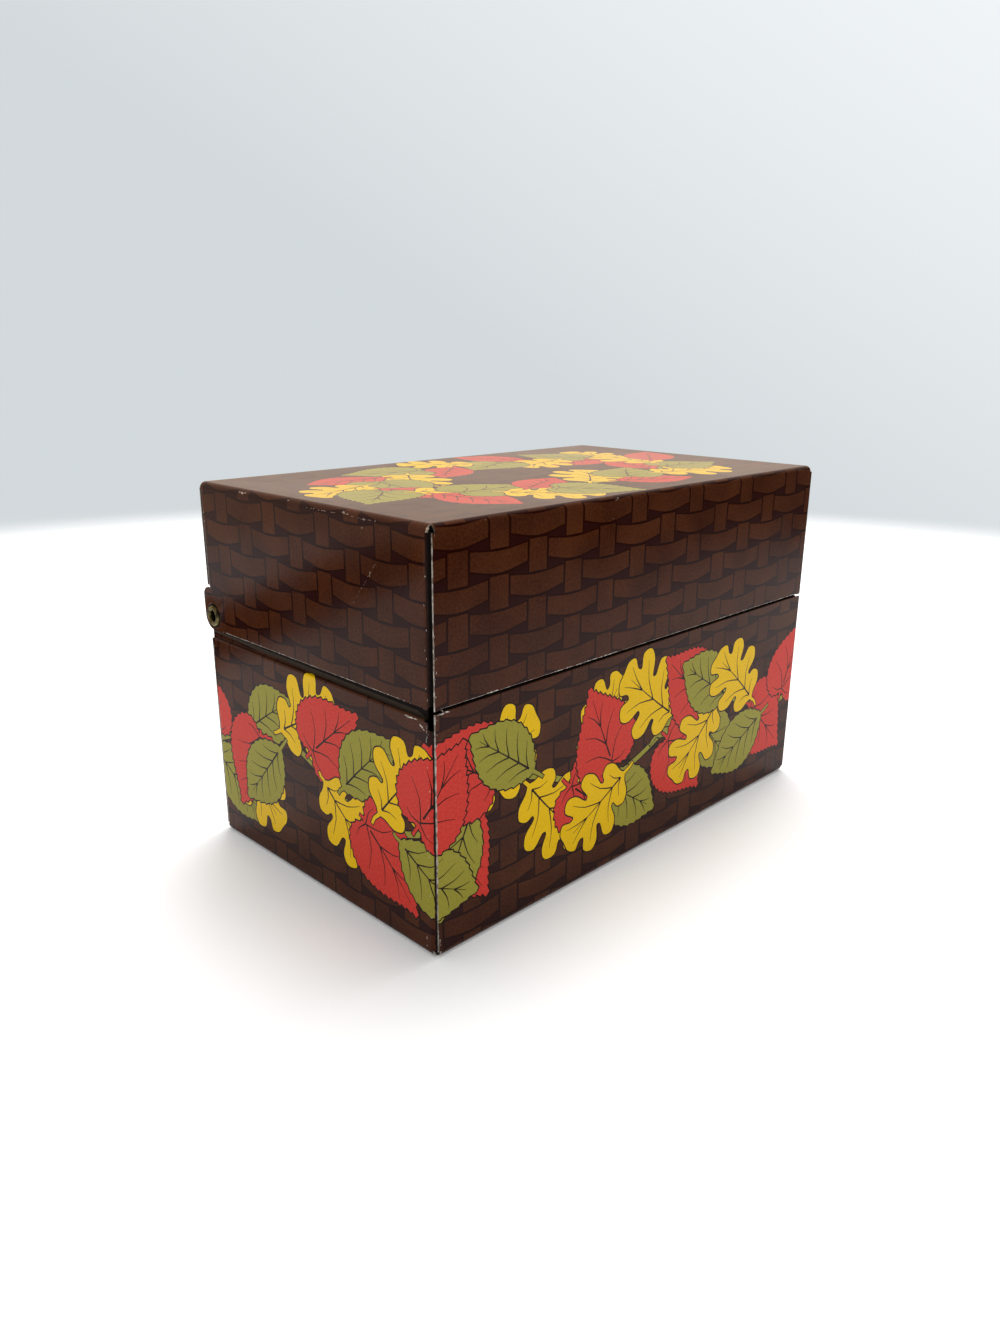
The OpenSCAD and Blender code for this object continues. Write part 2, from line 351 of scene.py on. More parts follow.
    # Triangles of the blank, cut along its outline, creases, holes and printed shapes
    def cut(self, shapes, loosePoints):
        points, faces, edges = [], [], []
        loops = [piece["outline"] for piece in self.pieces] + self.holes + [shape[1] for shape in shapes]
        for loop in loops:
            faces.append(list(range(len(points), len(points) + len(loop))))
            points.extend(Vector(point) for point in counterClockwise(loop))
        for crease in self.creases:
            edges.append((len(points), len(points) + 1))
            points.extend(Vector(point) for point in crease)
        points.extend(Vector(point) for point in loosePoints)
        made = delaunay_2d_cdt(points, edges, faces, 1, 1e-4)  # 1 keeps what lies inside a loop
        firstHole = len(self.pieces)
        firstShape = firstHole + len(self.holes)
        triangles = []
        for corners, origins in zip(made[2], made[5]):
            owners = [o for o in origins if o < firstHole]
            if not owners or any(firstHole <= o < firstShape for o in origins):
                continue
            panel = self.pieces[owners[0]]["panel"]
            over = [o - firstShape for o in origins if o >= firstShape]
            over = [o for o in over if shapes[o][0] == panel]
            triangles.append((list(corners), owners[0], shapes[max(over)][2] if over else "weave"))
        return made[0], triangles


# Which way the printed face looks at a point of the blank
def outwardNormal(place, p, q):
    step = 0.02
    along = place(p + step, q, 0) - place(p - step, q, 0)
    across = place(p, q + step, 0) - place(p, q - step, 0)
    normal = along.cross(across).normalized()
    return normal if normal.dot(place(p, q, 0) - place(p, q, 0.05)) > 0 else -normal


# Folds the cut blank into a sheet with a printed face, a bare face and cut edges
def foldSheet(name, blank, materials):
    flat, inked = blank.cut(blank.shapes, blank.grid)
    owners = {}
    for corners, piece, ink in inked:
        for a, b in zip(corners, corners[1:] + corners[:1]):
            owners[(a, b)] = piece
    rim = [(a, b, piece) for (a, b), piece in owners.items() if (b, a) not in owners]
    rimPoints = [tuple(flat[i]) for i in sorted({i for edge in rim for i in edge[:2]})]
    flatBack, plain = blank.cut([], blank.grid + rimPoints)

    verts, faces, mats, normals, coords = [], [], [], [], []
    slots = {key: k for k, key in enumerate(materials)}
    facing = {}

    def addFace(corners, material, cornerNormals, cornerCoords):
        faces.append(corners)
        mats.append(slots[material])
        normals.extend(cornerNormals)
        coords.extend(cornerCoords)

    def addSide(points, triangles, depth):
        index = {}
        for corners, piece, ink in triangles:
            place, printAt = blank.pieces[piece]["place"], blank.pieces[piece]["printAt"]
            for i in corners:
                if i not in index:
                    index[i] = len(verts)
                    verts.append(place(*points[i], depth))
                    facing[index[i]] = outwardNormal(place, *points[i]) * (-1 if depth else 1)
            a, b, c = (index[i] for i in corners)
            flipped = (verts[b] - verts[a]).cross(verts[c] - verts[a]).dot(facing[a]) < 0
            order = corners[::-1] if flipped else corners
            places = [index[i] for i in order]
            prints = [printAt(*points[i]) for i in order]
            addFace(places, "bare" if depth else ink, [facing[i] for i in places], prints)
        return index

    front = addSide(flat, inked, 0.0)
    back = addSide(flatBack, plain, tin["thick"])
    backAt = {(round(flatBack[i][0], 2), round(flatBack[i][1], 2)): back[i] for i in back}
    missing = 0
    for a, b, piece in rim:
        ends = [(round(flat[i][0], 2), round(flat[i][1], 2)) for i in (b, a)]
        if not all(end in backAt for end in ends):
            missing += 1
            continue
        strip = [front[a], front[b], backAt[ends[0]], backAt[ends[1]]]
        normal = (verts[strip[1]] - verts[strip[0]]).cross(verts[strip[3]] - verts[strip[0]])
        (ax, ay), (bx, by) = flat[a], flat[b]
        away = Vector((by - ay, ax - bx)).normalized() * 0.02
        middle = Vector(((ax + bx) / 2, (ay + by) / 2))
        place = blank.pieces[piece]["place"]
        if normal.dot(place(*(middle + away), 0) - place(*(middle - away), 0)) < 0:
            strip.reverse()
            normal.negate()
        strip = list(dict.fromkeys(strip))  # a triangle where both ends meet one point of the bare face
        spot = blank.pieces[piece]["printAt"](*middle)
        addFace(strip, "cut", [normal.normalized()] * len(strip), [spot] * len(strip))

    mesh = bpy.data.meshes.new(name)
    mesh.from_pydata([v * mm for v in verts], [], faces)
    for material in materials.values():
        mesh.materials.append(material)
    mesh.polygons.foreach_set("material_index", mats)
    layer = mesh.uv_layers.new(name="printMm")
    layer.data.foreach_set("uv", [c for uv in coords for c in uv])
    mesh.normals_split_custom_set([tuple(n) for n in normals])
    mesh.update()
    sheet = bpy.data.objects.new(name, mesh)
    bpy.context.scene.collection.objects.link(sheet)
    print(name, "faces:", len(faces), "cut edges:", len(rim), "not joined:", missing)
    return sheet


# The printed leaves. A kind has its length and width, the depth and spacing of its teeth, half of its
# outline from the stalk to the tip as shares of the length and width, and its veins as
# (start on the midrib, end along, end across, bow).
leafPrint = {
    "outline": 0.32,
    "vein": 0.5,
    "stalk": 0.95,
    "twigW": 1.3,
    "twigLineW": 1.9,
    "oak": {
        "length": 22.0,
        "width": 18.5,
        "tooth": 0.0,
        "toothEvery": 2.0,
        "half": [(0.0, 0.0), (0.05, 0.09), (0.08, 0.24), (0.17, 0.33), (0.26, 0.28), (0.28, 0.19),
                 (0.33, 0.21), (0.35, 0.39), (0.45, 0.5), (0.55, 0.43), (0.53, 0.25), (0.58, 0.22),
                 (0.65, 0.38), (0.76, 0.44), (0.84, 0.33), (0.78, 0.19), (0.84, 0.16), (0.93, 0.22),
                 (1.0, 0.13), (1.0, 0.0)],
        "veins": [(0.08, 0.19, 0.19, 0.02), (0.22, 0.44, 0.36, 0.03), (0.42, 0.73, 0.32, 0.03),
                  (0.64, 0.92, 0.12, 0.01)],
    },
    "linden": {
        "length": 19.0,
        "width": 18.0,
        "tooth": 0.55,
        "toothEvery": 1.9,
        "half": [(0.0, 0.0), (-0.08, 0.09), (-0.12, 0.24), (-0.03, 0.4), (0.15, 0.5), (0.36, 0.48),
                 (0.56, 0.37), (0.74, 0.21), (0.88, 0.08), (1.0, 0.0)],
        "veins": [(0.0, -0.02, 0.24, -0.03), (0.01, 0.3, 0.38, 0.05), (0.26, 0.54, 0.27, 0.03),
                  (0.5, 0.74, 0.14, 0.02)],
    },
    "beech": {
        "length": 21.0,
        "width": 13.0,
        "tooth": 0.4,
        "toothEvery": 2.3,
        "half": [(0.0, 0.0), (0.05, 0.12), (0.19, 0.35), (0.37, 0.48), (0.55, 0.49), (0.72, 0.38),
                 (0.87, 0.18), (1.0, 0.0)],
        "veins": [(0.1, 0.27, 0.34, 0.02), (0.25, 0.45, 0.4, 0.02), (0.41, 0.61, 0.36, 0.02),
                  (0.57, 0.75, 0.26, 0.02), (0.72, 0.87, 0.12, 0.01)],
    },
}


# A soft curve through points
def curved(points, steps):
    line = [Vector(point) for point in points]
    line = [2 * line[0] - line[1]] + line + [2 * line[-1] - line[-2]]
    out = []
    for a, b, c, d in zip(line, line[1:], line[2:], line[3:]):
        for k in range(steps):
            t = k / steps
            bend = (2 * a - 5 * b + 4 * c - d) * t * t + (3 * b - a - 3 * c + d) * t ** 3
            out.append(b + 0.5 * ((c - a) * t + bend))
    return out + [line[-2]]


# The points of a line again, evenly spaced, with a forward tooth on each space
def toothed(line, depth, spacing):
    length = sum((b - a).length for a, b in zip(line, line[1:]))
    space = length / max(3, round(length / spacing))
    out, walked, goal = [line[0]], 0.0, space
    for a, b in zip(line, line[1:]):
        step = (b - a).length
        last = length + space / 4 if b is line[-1] else min(walked + step, length - space / 2)
        while goal <= last:
            here = a.lerp(b, min(1.0, (goal - walked) / step))
            forward = here - out[-1]
            outward = Vector((-forward.y, forward.x)).normalized()
            out += [out[-1] + forward * 0.8 + outward * depth, here]
            goal += space
        walked += step
    return out


# A ribbon along a line that narrows from one width to another
def ribbon(line, startWidth, endWidth):
    left, right = [], []
    for k, point in enumerate(line):
        ahead = (line[min(k + 1, len(line) - 1)] - line[max(k - 1, 0)]).normalized()
        half = (startWidth + (endWidth - startWidth) * k / (len(line) - 1)) / 2
        left.append(point + Vector((-ahead.y, ahead.x)) * half)
        right.append(point - Vector((-ahead.y, ahead.x)) * half)
    return right + left[::-1]


# A loop grown outwards by a hair, for the dark line round a printed shape
def grown(loop, by):
    loop = counterClockwise(loop)
    out = []
    for before, point, after in zip(loop[-1:] + loop[:-1], loop, loop[1:] + loop[:1]):
        a, b = (point - before).normalized(), (after - point).normalized()
        square = Vector((a.y, -a.x))
        normal = (square + Vector((b.y, -b.x))).normalized()
        out.append(point + normal * by / max(0.6, normal.dot(square)))
    return out


# Paints one leaf from the place where its stalk leaves the twig, pointing at an angle
def paintLeaf(paint, kind, ink, at, angle, size, bow, stalkLength):
    look = leafPrint[kind]
    length, width = look["length"] * size, look["width"] * size
    ahead = Vector((math.cos(angle), math.sin(angle)))
    aside = Vector((-ahead.y, ahead.x))

    def place(x, y):
        return at + ahead * (x + stalkLength) + aside * (y + bow * x * abs(x) / length)

    half = curved([(x * length, y * width) for x, y in look["half"]], 3)
    if look["tooth"]:
        half = toothed(half, look["tooth"], look["toothEvery"])
    blade = [place(*p) for p in half] + [place(p.x, -p.y) for p in half[-2:0:-1]]
    swung = at + ahead * stalkLength * 0.5 - aside * bow * stalkLength
    stalk = [at, swung, place(0, 0), place(length * 0.09, 0)]
    stem = ribbon(curved(stalk, 3), leafPrint["stalk"] * 0.7, leafPrint["stalk"])
    paint(grown(stem, leafPrint["outline"] * 0.7), "line")
    paint(grown(blade, leafPrint["outline"]), "line")
    paint(blade, ink)
    paint(stem, ink)
    paint(ribbon([place(length * t, 0) for t in (0.08, 0.3, 0.55, 0.86)], leafPrint["vein"], 0.12), "line")
    for start, endX, endY, veinBow in look["veins"]:
        for side in (-1, 1):
            a, c = Vector((start * length, 0)), Vector((endX * length, side * endY * width))
            b = (a + c) / 2 + Vector((veinBow * length, -side * veinBow * width * 0.6))
            paint(ribbon([place(*p) for p in curved([a, b, c], 2)], leafPrint["vein"] * 0.75, 0.1), "line")


leafInks = ["leafRed", "leafYellow", "leafOlive"]
leafKinds = ["oak", "linden", "beech"]


# Draws an ink or a kind that the leaves just before don't have
def nextOf(choices, used, dice):
    used.append(dice.choice([choice for choice in choices if choice not in used[-2:]]))
    return used[-1]


# The twig that the leaves grow from, in short ribbons with a dark line round them
def paintTwig(paint, twigAt, parts):
    for k in range(parts):
        part = [twigAt(k + t) for t in (-0.1, 0.2, 0.5, 0.8, 1.1)]
        paint(ribbon(part, leafPrint["twigLineW"], leafPrint["twigLineW"]), "line")
        paint(ribbon(part, leafPrint["twigW"], leafPrint["twigW"]), "leafOlive")


# A winding twig round the base with leaves above and below it in turn
garland = {
    "seed": 7,
    "leaves": 70,
    "height": 28.0,
    "wave": 5.0,
    "waves": 6,
    "top": 46.5,
    "bottom": 9.0,
    "steepest": 1.25,
    "bow": 0.12,
}


def paintGarland(blank):
    dice = random.Random(garland["seed"])
    lap = 4 * (box["halfW"] + box["halfD"])
    space = lap / garland["leaves"]

    def twigAt(k):
        w = space * k
        turn = 2 * math.pi * garland["waves"] * w / lap
        return Vector((w, garland["height"] + garland["wave"] * math.sin(turn)))

    paintTwig(blank.paintRound, twigAt, garland["leaves"])
    inks, kinds = [], []
    for k in range(garland["leaves"]):
        at = twigAt(k + dice.uniform(-0.2, 0.2))
        ink, kind = nextOf(leafInks, inks, dice), nextOf(leafKinds, kinds, dice)
        size, stalk = dice.uniform(1.0, 1.2), dice.uniform(2.0, 4.0)
        room = garland["top"] - at.y if k % 2 else at.y - garland["bottom"]
        reach = leafPrint[kind]["length"] * size + stalk
        steep = min(garland["steepest"], math.asin(min(1.0, room / reach)))
        angle = steep * dice.uniform(0.75, 1.0) * (1 if k % 2 else -1)
        if dice.random() < 0.3:
            angle = math.pi - angle
        bow = dice.uniform(-garland["bow"], garland["bow"])
        paintLeaf(blank.paintRound, kind, ink, at, angle, size, bow, stalk)


# A wreath of leaves on top of the lid
wreath = {
    "seed": 11,
    "leaves": 30,
    "radii": (45.0, 22.5),
    "lean": 38.0,
    "twigParts": 36,
    "stalk": 2.0,
    "bow": 0.12,
}


def paintWreath(blank):
    dice = random.Random(wreath["seed"])

    def twigAt(share):
        turn = 2 * math.pi * share
        return Vector((wreath["radii"][0] * math.cos(turn), wreath["radii"][1] * math.sin(turn)))

    def paint(loop, ink):
        blank.paint("plate", loop, ink)

    paintTwig(paint, lambda k: twigAt(k / wreath["twigParts"]), wreath["twigParts"])
    inks, kinds = [], []
    for k in range(wreath["leaves"]):
        share = (k + dice.uniform(-0.15, 0.15)) / wreath["leaves"]
        ahead = twigAt(share + 0.01) - twigAt(share)
        ink, kind = nextOf(leafInks, inks, dice), nextOf(leafKinds, kinds, dice)
        lean = math.radians(wreath["lean"] * dice.uniform(0.7, 1.3)) * (-1 if k % 2 else 1)
        angle = math.atan2(ahead.y, ahead.x) + lean
        bow = dice.uniform(-wreath["bow"], wreath["bow"])
        paintLeaf(paint, kind, ink, twigAt(share), angle, dice.uniform(0.92, 1.08), bow, wreath["stalk"])


# Painted shade in the open corner seams: a dark edge and black inside it, as runs round the corner bend,
# with a bright rubbed edge beside them. Above these heights, at the front corner and at the back, the
# base's ledge is dusty and black with painted shade under the lid. Chips are (number, size, spread).
wear = {
    "lidSeamShade": (0.45, 0.85),
    "baseSeamShade": (1.0, 1.35),
    "seamShadeWaver": (-0.12, 0.08),
    "lidRubbed": (0.01, 0.09),
    "baseRubbed": (0.02, 0.2),
    "backSeamUp": 0.6,
    "bendChips": (7, 0.4, 0.35),
    "edgeChips": (9, 0.35, 0.3),
    "chipsIn": 0.3,
    "chipCorners": 7,
    "raggedEvery": 0.9,
    "dustFrom": (50.5, 52.2),
    "dustW": (1.5, 2.2),
    "ledgeShadeFrom": (52.0, 52.7),
    "frontShadeFrom": 52.05,
    "paintedShadeW": (2.0, 2.9),
    "cornerShade": [(0.0, 50.0), (5.5, 52.1), (0.0, 54.0)],
    "hemRubbedHighlight": (0.02, 0.1),
    "hemRubbedHighlightUp": 0.24,
    "hemRubbedHighlightFrontIn": 2.0,
    "hemRubbedHighlightEndHalf": 32.0,
    "seeds": {"baseSeams": 100, "ledge": 150, "lidSeams": 200, "hem": 250, "baseMarks": 300,
              "lidMarks": 400},
}


# Small uneven chips along a line, where the print is rubbed or knocked off the tin
def chips(blank, panel, start, end, count, size, spread, seed):
    dice = random.Random(seed)
    start, end = Vector(start), Vector(end)
    ahead = (end - start).normalized()
    aside = Vector((-ahead.y, ahead.x))
    for k in range(count):
        at = start.lerp(end, dice.random()) + aside * dice.uniform(-spread, spread)
        long, wide = size * dice.uniform(0.5, 1.6), size * dice.uniform(0.25, 0.6)
        corners = wear["chipCorners"]
        turns = [2 * math.pi * (j + dice.uniform(-0.3, 0.3)) / corners for j in range(corners)]
        loop = []
        for turn in turns:
            along = long / 2 * math.cos(turn) * dice.uniform(0.7, 1.1)
            loop.append(at + ahead * along + aside * (wide / 2 * math.sin(turn)))
        blank.paint(panel, loop, "worn")


# An uneven strip of one ink beside a line, towards a direction
def raggedStrip(blank, panel, start, end, towards, widths, ink, seed):
    dice = random.Random(seed)
    start, end, towards = Vector(start), Vector(end), Vector(towards)
    count = max(6, round((end - start).length / wear["raggedEvery"]))
    line = [start.lerp(end, k / count) for k in range(count + 1)]
    inner = [point + towards * dice.uniform(*widths) for point in line]
    blank.paint(panel, [start, end] + inner[::-1], ink)


# The base, which holds the cards. Its rim is cut from a fold that runs on for pastRim above the ledge.
base = {
    "cornerIn": 1.7,
    "frontH": 51.9,
    "endH": 50.0,
    "rimZ": 58.5,
    "rimIn": 1.0,
    "stepR": 0.45,
    "rimRelief": 2.6,
    "rimCornerR": 1.8,
    "pastRim": 12.0,
    "backTop": 62.5,
    "hemRelief": 2.2,
    "earR": 4.2,
    "earY": 39.55,
    "boreR": 1.57,
    "biteDepth": 1.6,
    "biteReach": 5.64,
    "tabDrop": 1.2,
    "frontPhase": (-57.3, 46.0),
    "endPhase": (-4.0, 49.3),
    "plateSeed": 9.5,
}


def makeBaseBlank():
    blank = Blank("base")
    reachX, reachY = blank.reach
    cut = box["halfW"] - tin["cutEdgeIn"]
    ledge = 2 * base["stepR"] - tin["thick"]
    ledgeW = base["rimIn"] - ledge
    step = [(90, base["stepR"]), (ledgeW,), (-90, base["stepR"]), (base["pastRim"],)]
    stepRun = math.radians(90) * ledge + ledgeW
    blank.addPlate(base["frontPhase"], base["plateSeed"])

    # Front wall, stepped in to the rim
    top = runTo(base["frontH"])
    rimRun = top + stepRun + base["rimZ"] - base["frontH"] - ledge
    rimX, r = box["halfW"] - base["rimRelief"], base["rimCornerR"]
    fold = Fold((reachY, 0), 0, [(90, tin["bendR"]), (base["frontH"] - tin["bendR"],)] + step)
    half = [(reachX, 0), (reachX, bendRun), (cut, bendRun), (cut, top), (rimX, top)]
    half += arc(rimX - r, rimRun - r, r, 0, 90)
    outline = mirrored(half)
    press = dentedWall(cut, bendRun, top - 1, 1.5)
    blank.addWall("front", fold, outline, base["frontPhase"], press, (bendRun, top))

    # Back wall, straight up to a hem
    top, shoulder = runTo(base["backTop"]), runTo(base["endH"])
    foldAt = top - tin["hemT"] / 2
    backX = box["halfW"] - base["rimIn"]
    hemX = backX - base["hemRelief"]
    fold = Fold((reachY, 0), 0, [(90, tin["bendR"]), (base["backTop"],)])
    half = [(reachX, 0), (reachX, bendRun), (cut, bendRun), (cut, shoulder), (backX, shoulder)]
    half += arc(backX - r, top - r, r, 0, 90) + [(hemX, top), (hemX, foldAt)]
    outline = mirrored(half)
    press = dentedWall(cut, bendRun, foldAt - 4, 2.5)
    blank.addWall("back", fold, outline, base["frontPhase"], press, (bendRun, foldAt))
    blank.addHem("back", foldAt, -hemX, hemX, base["frontPhase"])

    # End walls, stepped in lower down, with the ears for the eyelets
    top = runTo(base["endH"])
    above = top + stepRun
    rimRun = above + base["rimZ"] - base["endH"] - ledge
    flatY, frontY = box["halfD"] - base["cornerIn"], -box["halfD"] + base["rimRelief"]
    pivotRun = above + pivotZ - base["endH"] - ledge
    earTurn = math.degrees(math.acos((base["earY"] - box["pivotY"]) / base["earR"]))
    earEnd = 90 + math.degrees(math.acos((rimRun - pivotRun) / base["earR"]))
    fold = Fold((reachX, 0), 0, [(90, tin["bendR"]), (base["endH"] - tin["bendR"],)] + step)
    cornerTop = top - base["biteDepth"] * 0.85
    outline = [(-reachY, 0), (reachY, 0), (reachY, bendRun), (flatY, bendRun), (flatY, cornerTop)]
    outline += [(flatY, above), (base["earY"], above)]
    outline += arc(box["pivotY"], pivotRun, base["earR"], earTurn, earEnd, 14)
    outline += arc(frontY + r, rimRun - r, r, 90, 180)
    outline += [(frontY, top), (-flatY, top), (-flatY, cornerTop), (-flatY, bendRun), (-reachY, bendRun)]
    bitten, free = top - base["biteDepth"] * 0.96, cornerRun + tin["tabW"]
    corner = [(0, bendRun), (cornerRun, bendRun), (free, bendRun + tin["tabSlope"])]
    corner += [(free, top - tin["tabSlope"]), (base["biteReach"], top - base["tabDrop"])]
    corner += [(base["biteReach"], bitten), (cornerRun, bitten), (cornerRun / 2, top - base["biteDepth"])]
    corner += [(0, cornerTop)]
    for panel, seed in (("left", 3.5), ("right", 5.5)):
        press = dentedWall(flatY, bendRun, top - 1, seed)
        toBlank = blank.addWall(panel, fold, outline, base["endPhase"], press, (bendRun, top))
        bore = arc(box["pivotY"], pivotRun, base["boreR"], 0, 345, 23)
        blank.holes.append([toBlank(*point) for point in bore])
        for side in (-1, 1):
            blank.addCorner(panel, side, flatY, fold, corner, base["endPhase"])
    paintGarland(blank)
    return blank


# The lid, hinged at the eyelets. Painted shade, near black, fills the dish round each eyelet out to its
# ring radius.
lid = {
    "cornerIn": 1.95,
    "backEdgeZ": 63.0,
    "hemRelief": 2.2,
    "hemClear": 0.8,
    "hemEndY": 32.7,
    "lobeR": 3.35,
    "heel": (1.3, 4.5),
    "heelR": 2.19,
    "boreR": 1.6,
    "dishDepth": 0.3,
    "dishR": 3.108,
    "dishFloorR": 2.65,
    "shadeRingR": 2.85,
    "biteDepth": 0.8,
    "frontPhase": (-49.9, 84.0),
    "endPhase": (-7.8, 82.1),
    "plateSeed": 5.5,
}


def makeLidBlank():
    blank = Blank("lid")
    reachX, reachY = blank.reach
    cut = box["halfW"] - tin["cutEdgeIn"]
    hemX = box["halfW"] - lid["hemRelief"]
    halfHem = tin["hemT"] / 2
    blank.addPlate(lid["frontPhase"], lid["plateSeed"])

    # Front and back walls differ in where their lower edge lies
    for panel, edgeZ, seed in (("front", box["lidZ"], 6.5), ("back", lid["backEdgeZ"], 8.5)):
        edge = runTo(box["height"] - edgeZ)
        foldAt = edge - halfHem
        fold = Fold((reachY, 0), 0, [(90, tin["bendR"]), (edge,)])
        half = [(reachX, 0), (reachX, bendRun), (cut, bendRun), (cut, edge), (hemX, edge), (hemX, foldAt)]
        outline = mirrored(half)
        press = dentedWall(cut, bendRun, foldAt - 2, seed)
        blank.addWall(panel, fold, outline, lid["frontPhase"], press, (bendRun, foldAt))
        blank.addHem(panel, foldAt, -hemX, hemX, lid["frontPhase"])

    # End walls, with the lobe and its heel round each eyelet
    edge, backEdge = runTo(box["height"] - box["lidZ"]), runTo(box["height"] - lid["backEdgeZ"])
    foldAt = edge - halfHem
    pivotRun = edge - box["pivotUp"]
    flatY = box["halfD"] - lid["cornerIn"]
    hemLow, hemHigh = -flatY + lid["hemClear"], lid["hemEndY"]
    heelY, heelRun = box["pivotY"] + lid["heel"][0], pivotRun - lid["heel"][1]
    turn = math.degrees(math.atan2(-lid["heel"][1], lid["heel"][0]))
    spread = math.degrees(math.acos((lid["lobeR"] - lid["heelR"]) / math.hypot(*lid["heel"])))
    heelTop = 180 + math.degrees(math.acos((heelY - flatY) / lid["heelR"]))
    outline = [(-reachY, 0), (reachY, 0), (reachY, bendRun), (flatY, bendRun), (flatY, backEdge)]
    outline += arc(heelY, heelRun, lid["heelR"], heelTop, 360 + turn + spread, 14)
    outline += arc(box["pivotY"], pivotRun, lid["lobeR"], turn + spread, 90, 14)
    outline += [(hemHigh, edge), (hemHigh, foldAt), (hemLow, foldAt), (hemLow, edge), (-flatY, edge)]
    outline += [(-flatY, bendRun), (-reachY, bendRun)]
    fold = Fold((reachX, 0), 0, [(90, tin["bendR"]), (edge,)])

    # The dish that the eyelet's flange lies in, with a flat floor and a rounded side
    def dishedWall(seed):
        def press(along, run):
            away = math.hypot(along - box["pivotY"], run - pivotRun)
            side = (lid["dishR"] - away) / (lid["dishR"] - lid["dishFloorR"])
            room = min(flatY - abs(along), run - bendRun, foldAt - 2 - run, away - lid["dishR"] - 2)
            return lid["dishDepth"] * smoothStep(side) + dent(along, run, room, seed)

        return press

    for panel, seed in (("left", 11.5), ("right", 13.5)):
        toBlank = blank.addWall(panel, fold, outline, lid["endPhase"], dishedWall(seed), (bendRun, foldAt))
        blank.addHem(panel, foldAt, hemLow, hemHigh, lid["endPhase"])
        bore = arc(box["pivotY"], pivotRun, lid["boreR"], 0, 345, 23)
        blank.holes.append([toBlank(*point) for point in bore])
        # Painted shade: a near-black disc round the eyelet, which shows as a dark ring outside its flange
        blank.paint(panel, arc(box["pivotY"], pivotZ, lid["shadeRingR"], 0, 345, 23), "paintedShade")
        for k in range(5):
            r = lid["dishFloorR"] + (lid["dishR"] - lid["dishFloorR"]) * k / 4
            ring = [toBlank(*point) for point in arc(box["pivotY"], pivotRun, r, 0, 360, 36)]
            blank.creases += list(zip(ring, ring[1:]))
        for side, low in ((-1, edge), (1, backEdge)):
            bite = lid["biteDepth"] if side < 0 else 0.0
            tabLow, free = low - tin["hemW"] - lid["hemClear"], cornerRun + tin["tabW"]
            corner = [(0, low), (cornerRun, low)]
            if bite:
                corner = [(0, low), (cornerRun * 0.08, low), (cornerRun * 0.3, low - bite * 0.87)]
                corner += [(cornerRun * 0.54, low - bite), (cornerRun, low - bite * 0.91)]
            corner += [(cornerRun, tabLow), (free, tabLow - tin["tabSlope"])]
            corner += [(free, bendRun + tin["tabSlope"]), (cornerRun, bendRun), (0, bendRun)]
            blank.addCorner(panel, side, flatY, fold, corner, lid["endPhase"])
    paintWreath(blank)
    return blank


# The seams at the front corners start at one height and those at the back at another. The end walls
# are flat up to flatY.
def paintSeams(blank, lows, high, flatY, seamShade, rubbed, seed):
    cut, free = box["halfW"] - tin["cutEdgeIn"], cornerRun + tin["tabW"]
    for side, low, panel in ((-1, lows[0], "front"), (1, lows[1], "back")):
        for end in ("left", "right"):
            # Both strips are painted shade in the open corner seam: the dark line ink, then near black
            # over it
            for ink, start in zip(("line", "paintedShade"), seamShade):
                seed += 1
                edge = side * (flatY + free)
                widths = [free - start + waver for waver in wear["seamShadeWaver"]]
                raggedStrip(blank, end, (edge, low), (edge, high), (-side, 0), widths, ink, seed)
            bend = side * (flatY + wear["chipsIn"])
            chips(blank, end, (bend, low), (bend, high), *wear["bendChips"], seed)
        for way in (-1, 1):
            seed += 1
            raggedStrip(blank, panel, (way * cut, low), (way * cut, high), (-way, 0), rubbed, "worn", seed)
            beside = way * (cut - wear["chipsIn"])
            chips(blank, panel, (beside, low), (beside, high), *wear["edgeChips"], seed)


# Painted shade, near black, along the ledge under the lid, and dust outside it at the ends
def paintLedge(blank, seed):
    w, d, z = box["halfW"], box["halfD"], wear["frontShadeFrom"]
    raggedStrip(blank, "front", (-w, z), (w, z), (0, 1), wear["paintedShadeW"], "paintedShade", seed)
    for panel in ("left", "right"):
        seed += 1
        corner = [(-d + inwards, height) for inwards, height in wear["cornerShade"]]
        for ink, (low, high), widths in (("dust", wear["dustFrom"], wear["dustW"]),
                                         ("paintedShade", wear["ledgeShadeFrom"], wear["paintedShadeW"])):
            raggedStrip(blank, panel, (-d, low), (d, high), (0, 1), widths, ink, seed)
        blank.paint(panel, corner, "paintedShade")


# The hem along the lid's edge, rubbed bright in a hair line that is also a painted highlight along the
# hem's bend
def paintHem(blank, seed):
    z, endHalf = box["lidZ"] + wear["hemRubbedHighlightUp"], wear["hemRubbedHighlightEndHalf"]
    frontHalf = box["halfW"] - wear["hemRubbedHighlightFrontIn"]
    for panel, half in (("front", frontHalf), ("left", endHalf), ("right", endHalf)):
        seed += 1
        raggedStrip(blank, panel, (-half, z), (half, z), (0, 1), wear["hemRubbedHighlight"], "worn", seed)


